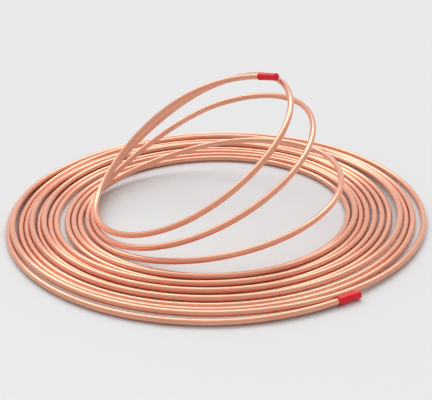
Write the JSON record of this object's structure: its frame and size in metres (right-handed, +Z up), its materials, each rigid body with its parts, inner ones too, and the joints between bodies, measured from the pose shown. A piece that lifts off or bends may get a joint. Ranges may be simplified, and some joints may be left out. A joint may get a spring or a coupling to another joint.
{
  "type": "copper tube coil",
  "caption": "Loose coil of soft copper tube lying flat, its inner loops fanned up from one side, with a push-on plastic cap closing each end.",
  "frame": {"origin": "centre of the flat coil, on the surface that it lies on", "axes": "+Z up, square to the coil's flat turns; +X towards the raised side of the standing loops; -Y towards the side where the outer end lies"},
  "size_m": [0.453, 0.453, 0.1471],
  "materials": {
    "copper": "satin",
    "cap_plastic": "glossy"
  },
  "bodies": {
    "root": {"copper_tube": "copper", "outer_end_cap": "cap_plastic", "inner_end_cap": "cap_plastic"}
  },
  "joints": []
}
